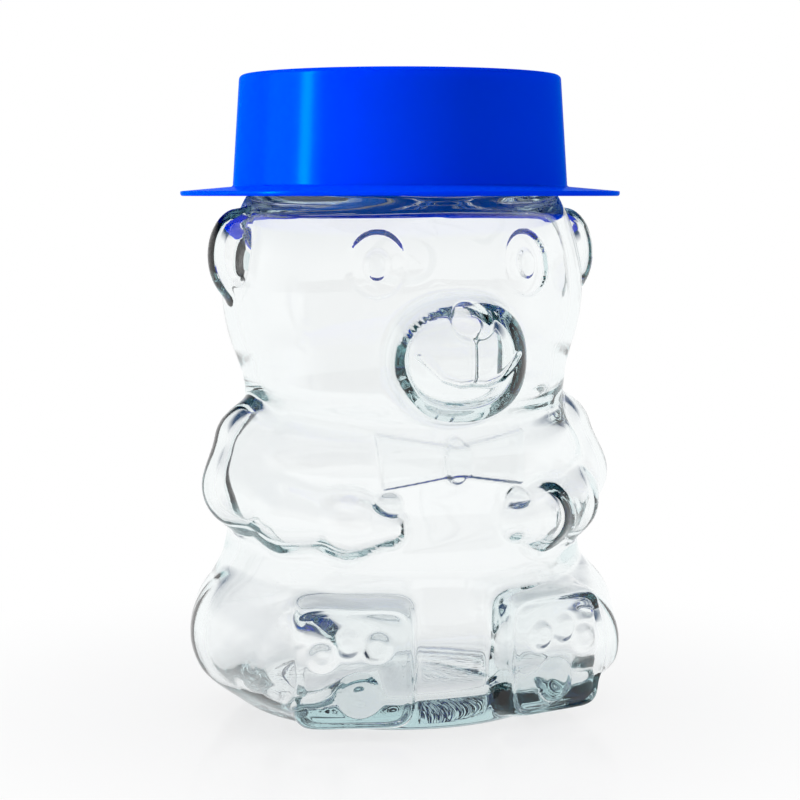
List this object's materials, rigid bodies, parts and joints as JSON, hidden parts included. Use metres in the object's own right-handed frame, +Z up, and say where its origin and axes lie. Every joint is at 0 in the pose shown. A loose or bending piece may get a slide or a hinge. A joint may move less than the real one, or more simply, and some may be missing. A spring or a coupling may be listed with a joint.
{
  "type": "bear-shaped glass honey jar",
  "caption": "Clear glass honey jar shaped as a sitting bear, closed by a quarter-turn lug cap under a blue pull-off hat with a flat crown and a round brim.",
  "frame": {"origin": "centre of the jar's base, on the axis of its mouth, at the level of the table", "axes": "+Z up along the axis of the mouth; the bear faces -Y; +X is the bear's left side"},
  "size_m": [0.0928, 0.0918, 0.132],
  "materials": {
    "clear_glass": "clear, smooth moulded glass with a faint green tint in its thick parts",
    "blue_plastic": "smooth, semi-gloss moulded plastic",
    "lacquered_tinplate": "tinplate under a blue gloss lacquer",
    "sealing_compound": "soft matt sealing compound"
  },
  "bodies": {
    "jar": {"glass_jar": "clear_glass"},
    "ring_rise": {"sealing_ring": "sealing_compound"},
    "cap": {"lug_cap": "lacquered_tinplate"},
    "hat": {"hat": "blue_plastic"}
  },
  "joints": [
    {"name": "cap_rise", "type": "slide", "parent": "jar", "child": "ring_rise", "axis": [0, 0, 1], "range_m": [0, 0.0141]},
    {"name": "cap_twist", "type": "hinge", "parent": "ring_rise", "child": "cap", "pos_m": [0, 0, 0.118], "axis": [0, 0, 1], "range_deg": [0, 360]},
    {"name": "hat_pull", "type": "slide", "parent": "cap", "child": "hat", "axis": [0, 0, 1], "range_m": [0, 0.04]}
  ],
  "couplings": [
    {"joint": "cap_rise", "follows": "cap_twist", "m_per_rad": 0.0022282}
  ]
}
